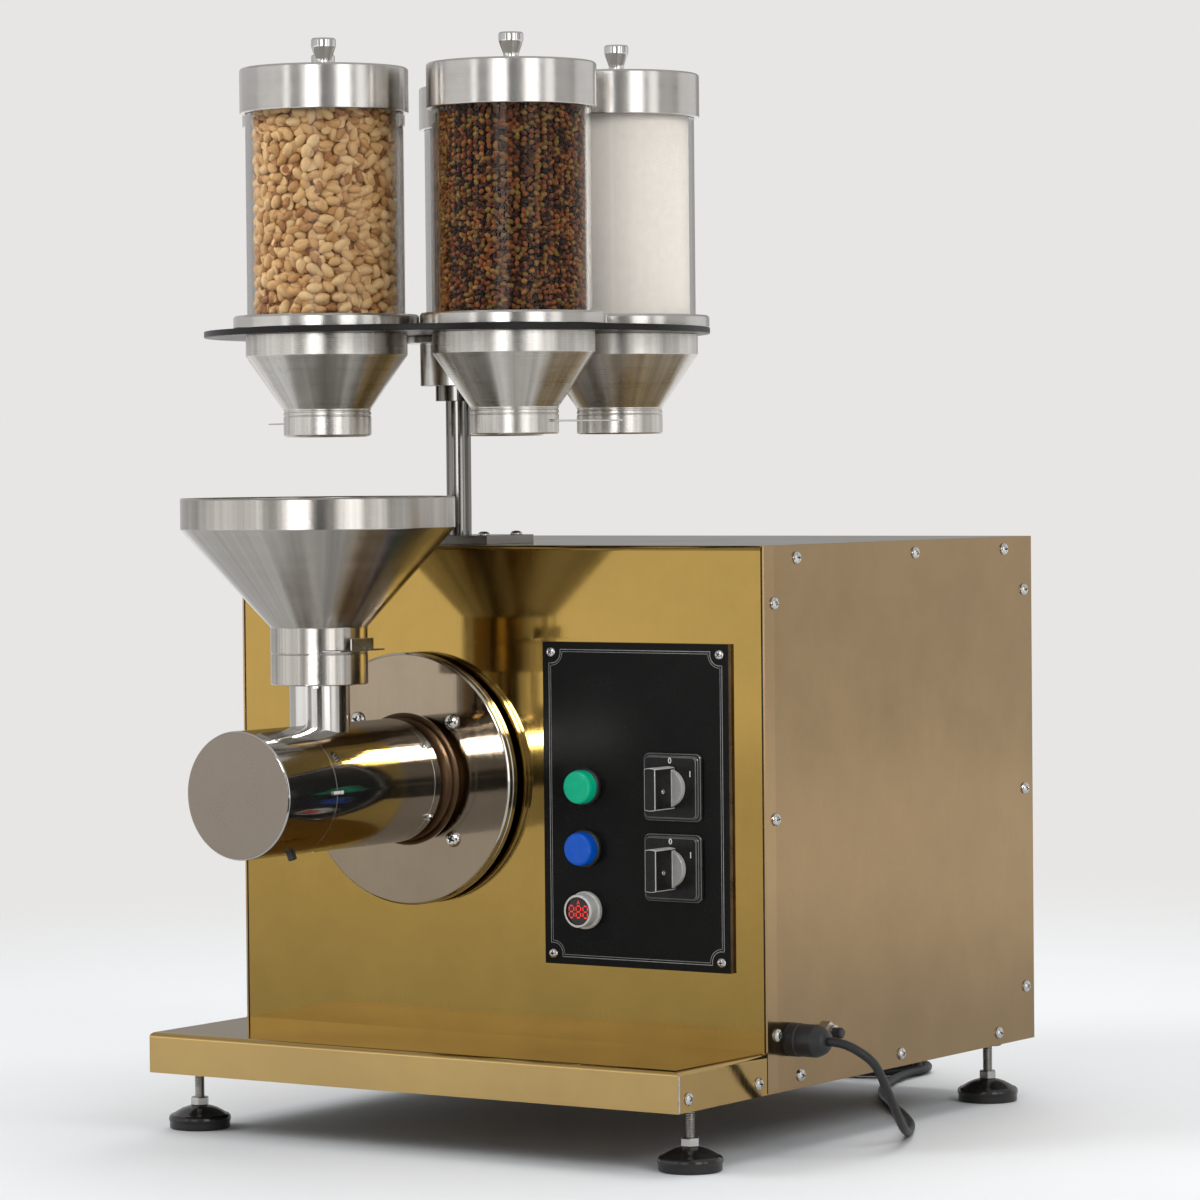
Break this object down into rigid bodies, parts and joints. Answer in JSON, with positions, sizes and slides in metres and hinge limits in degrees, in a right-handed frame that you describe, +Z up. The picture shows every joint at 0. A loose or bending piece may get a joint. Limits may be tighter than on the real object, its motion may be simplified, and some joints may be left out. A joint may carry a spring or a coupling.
{
  "type": "electric nut butter grinder",
  "caption": "Bench-top nut butter grinder: gold sheet cabinet, horizontal grinding head with feed funnel, control panel and a turning carousel of clear containers",
  "frame": {"origin": "floor level under the middle of the footprint, the cord left out", "axes": "+Z up, -Y out of the front panel along the grinding head, +X to the right seen from the front"},
  "size_m": [0.5975, 0.7786, 0.864],
  "materials": {
    "gold_sheet": "gold-coated mirror sheet steel",
    "frame_paint": "dark grey paint",
    "polished_steel": "polished stainless steel",
    "satin_steel": "satin stainless steel",
    "turned_aluminium": "lathe-turned aluminium",
    "motor_casting": "painted ribbed casting",
    "seal_rubber": "matt",
    "black_plastic": "satin black",
    "foot_plastic": "glossy black",
    "grey_plastic": "light grey",
    "lamp_metal": "plated bezel",
    "green_lens": "translucent",
    "blue_lens": "translucent",
    "meter_white": "white rim, dark window",
    "clear_tube": "clear acrylic",
    "nuts_and_seeds": "loose nuts and seeds",
    "cord_sheath": "matt black sheath"
  },
  "bodies": {
    "root": {"welded_frame": "frame_paint", "base_tray": "gold_sheet", "front_top_cover": "gold_sheet", "left_cover": "gold_sheet", "right_cover": "gold_sheet", "rear_cover": "gold_sheet", "screws": "polished_steel", "foot_inserts": "black_plastic", "control_plate": "black_plastic", "lamp_bodies": "lamp_metal", "start_lamp_lens": "green_lens", "fan_lamp_lens": "blue_lens", "ammeter_face": "meter_white", "switch_plates": "black_plastic", "switch_bodies": "black_plastic", "mount_flange": "polished_steel", "barrel": "polished_steel", "shaft_bearing": "satin_steel", "shaft_seal": "seal_rubber", "motor_body": "motor_casting", "motor_cradle": "frame_paint", "fan_frame": "black_plastic", "post": "polished_steel", "overload_switch": "polished_steel", "cable_gland": "black_plastic", "cord_run": "cord_sheath", "cord_coil": "cord_sheath", "cord_plug": "black_plastic"},
    "carousel": {"carousel_hub": "turned_aluminium", "carousel_disc": "black_plastic", "container_rings": "turned_aluminium", "container_tubes": "clear_tube", "hoppers": "turned_aluminium", "container_fills": "nuts_and_seeds"},
    "funnel": {"feed_funnel": "turned_aluminium"},
    "feed_gate": {"feed_gate": "satin_steel"},
    "rotor": {"motor_shaft": "satin_steel", "shaft_coupling": "satin_steel", "auger": "satin_steel", "rotating_burr": "satin_steel"},
    "fan": {"fan_rotor": "black_plastic"},
    "cap": {"adjuster_cap": "satin_steel", "fixed_burr": "satin_steel"},
    "start_switch": {"start_switch_knob": "grey_plastic"},
    "fan_switch": {"fan_switch_knob": "grey_plastic"},
    "overload_button": {"overload_button": "black_plastic"},
    "foot_front_left": {"foot_front_left": "foot_plastic"},
    "foot_front_right": {"foot_front_right": "foot_plastic"},
    "foot_rear_left": {"foot_rear_left": "foot_plastic"},
    "foot_rear_right": {"foot_rear_right": "foot_plastic"},
    "lid_1": {"lid_1": "turned_aluminium"},
    "gate_1": {"gate_1": "polished_steel"},
    "lid_2": {"lid_2": "turned_aluminium"},
    "gate_2": {"gate_2": "polished_steel"},
    "lid_3": {"lid_3": "turned_aluminium"},
    "gate_3": {"gate_3": "polished_steel"},
    "lid_4": {"lid_4": "turned_aluminium"},
    "gate_4": {"gate_4": "polished_steel"},
    "lid_5": {"lid_5": "turned_aluminium"},
    "gate_5": {"gate_5": "polished_steel"}
  },
  "joints": [
    {"name": "carousel_turn", "type": "hinge", "parent": "root", "child": "carousel", "pos_m": [-0.0685, -0.0346, 0.6], "axis": [0, 0, 1], "continuous": true},
    {"name": "lid_lift_1", "type": "slide", "parent": "carousel", "child": "lid_1", "axis": [0, 0, 1], "range_m": [0, 0.07]},
    {"name": "lid_lift_2", "type": "slide", "parent": "carousel", "child": "lid_2", "axis": [0, 0, 1], "range_m": [0, 0.07]},
    {"name": "lid_lift_3", "type": "slide", "parent": "carousel", "child": "lid_3", "axis": [0, 0, 1], "range_m": [0, 0.07]},
    {"name": "lid_lift_4", "type": "slide", "parent": "carousel", "child": "lid_4", "axis": [0, 0, 1], "range_m": [0, 0.07]},
    {"name": "lid_lift_5", "type": "slide", "parent": "carousel", "child": "lid_5", "axis": [0, 0, 1], "range_m": [0, 0.07]},
    {"name": "gate_pull_1", "type": "slide", "parent": "carousel", "child": "gate_1", "axis": [-0.8678, 0.497, 0], "range_m": [0, 0.058]},
    {"name": "gate_pull_2", "type": "slide", "parent": "carousel", "child": "gate_2", "axis": [0.5707, 0.8211, 0], "range_m": [0, 0.058]},
    {"name": "gate_pull_3", "type": "slide", "parent": "carousel", "child": "gate_3", "axis": [-0.6046, 0.7965, 0], "range_m": [0, 0.058]},
    {"name": "gate_pull_4", "type": "slide", "parent": "carousel", "child": "gate_4", "axis": [-0.3289, 0.9444, 0], "range_m": [0, 0.058]},
    {"name": "gate_pull_5", "type": "slide", "parent": "carousel", "child": "gate_5", "axis": [-0.518, 0.8554, 0], "range_m": [0, 0.058]},
    {"name": "funnel_lift", "type": "slide", "parent": "root", "child": "funnel", "axis": [0, 0, 1], "range_m": [0, 0.04]},
    {"name": "feed_gate_pull", "type": "slide", "parent": "funnel", "child": "feed_gate", "axis": [1, 0, 0], "range_m": [0, 0.049]},
    {"name": "rotor_spin", "type": "hinge", "parent": "root", "child": "rotor", "pos_m": [-0.0685, 0.0054, 0.28], "axis": [0, 1, 0], "continuous": true},
    {"name": "fan_spin", "type": "hinge", "parent": "root", "child": "fan", "pos_m": [0.1365, 0.3054, 0.248], "axis": [0, 1, 0], "continuous": true},
    {"name": "cap_turn", "type": "hinge", "parent": "root", "child": "cap", "pos_m": [-0.0685, -0.2946, 0.28], "axis": [0, 1, 0], "range_deg": [-60, 60]},
    {"name": "start_switch_turn", "type": "hinge", "parent": "root", "child": "start_switch", "pos_m": [0.1765, -0.1146, 0.28], "axis": [0, 1, 0], "range_deg": [0, 60]},
    {"name": "fan_switch_turn", "type": "hinge", "parent": "root", "child": "fan_switch", "pos_m": [0.1765, -0.1146, 0.218], "axis": [0, 1, 0], "range_deg": [0, 60]},
    {"name": "overload_press", "type": "slide", "parent": "root", "child": "overload_button", "axis": [-1, 0, 0], "range_m": [0, 0.003], "stiffness_N_per_m": 200},
    {"name": "level_front_left", "type": "slide", "parent": "root", "child": "foot_front_left", "axis": [0, 0, -1], "range_m": [-0.01, 0.01]},
    {"name": "level_front_right", "type": "slide", "parent": "root", "child": "foot_front_right", "axis": [0, 0, -1], "range_m": [-0.01, 0.01]},
    {"name": "level_rear_left", "type": "slide", "parent": "root", "child": "foot_rear_left", "axis": [0, 0, -1], "range_m": [-0.01, 0.01]},
    {"name": "level_rear_right", "type": "slide", "parent": "root", "child": "foot_rear_right", "axis": [0, 0, -1], "range_m": [-0.01, 0.01]}
  ]
}
